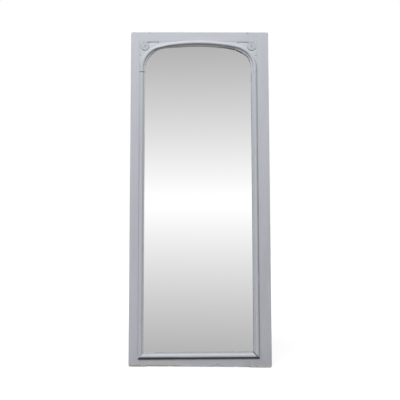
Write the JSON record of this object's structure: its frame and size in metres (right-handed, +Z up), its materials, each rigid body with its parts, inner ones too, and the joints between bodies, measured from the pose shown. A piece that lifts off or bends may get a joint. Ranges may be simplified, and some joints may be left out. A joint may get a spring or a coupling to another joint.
{
  "type": "leaner mirror",
  "caption": "Tall painted wooden leaner mirror: panelled back frame, plate held by a moulded bead under a basket arch, with rosettes in its sunk spandrels.",
  "frame": {"origin": "on the floor, in the middle of the width and of the depth of the upright mirror", "axes": "+Z up along the height, +X to the right as seen from the front, +Y towards the wall, so the mirror faces -Y"},
  "size_m": [0.75, 0.0434, 1.8],
  "materials": {
    "frame_paint": "lilac-grey chalky paint on wood, worn through at the edges",
    "moulding_paint": "lilac-grey satin paint on carved wood",
    "back_wood": "bare old wood, planed",
    "panel_wood": "bare old wood, rough",
    "peg_wood": "bare end grain",
    "mirror_glass": "silvered plate",
    "nail_iron": "dull"
  },
  "bodies": {
    "root": {"left_stile": "frame_paint", "right_stile": "frame_paint", "top_rail": "frame_paint", "bottom_rail": "frame_paint", "lower_cross_rail": "back_wood", "upper_cross_rail": "back_wood", "lower_panel": "panel_wood", "middle_panel": "panel_wood", "upper_panel": "panel_wood", "corner_pegs": "peg_wood", "cross_rail_pegs": "peg_wood", "mirror_plate": "mirror_glass", "setting_blocks": "peg_wood", "side_packers": "peg_wood", "left_spandrel": "moulding_paint", "right_spandrel": "moulding_paint", "spandrel_nails": "nail_iron", "left_rosette": "moulding_paint", "right_rosette": "moulding_paint", "rosette_pins": "nail_iron", "left_haunch_bead": "moulding_paint", "crown_bead": "moulding_paint", "right_haunch_bead": "moulding_paint", "left_bead": "moulding_paint", "right_bead": "moulding_paint", "bottom_bead": "moulding_paint", "arch_bead_nails": "nail_iron", "side_bead_nails": "nail_iron", "bottom_bead_nails": "nail_iron"}
  },
  "joints": []
}
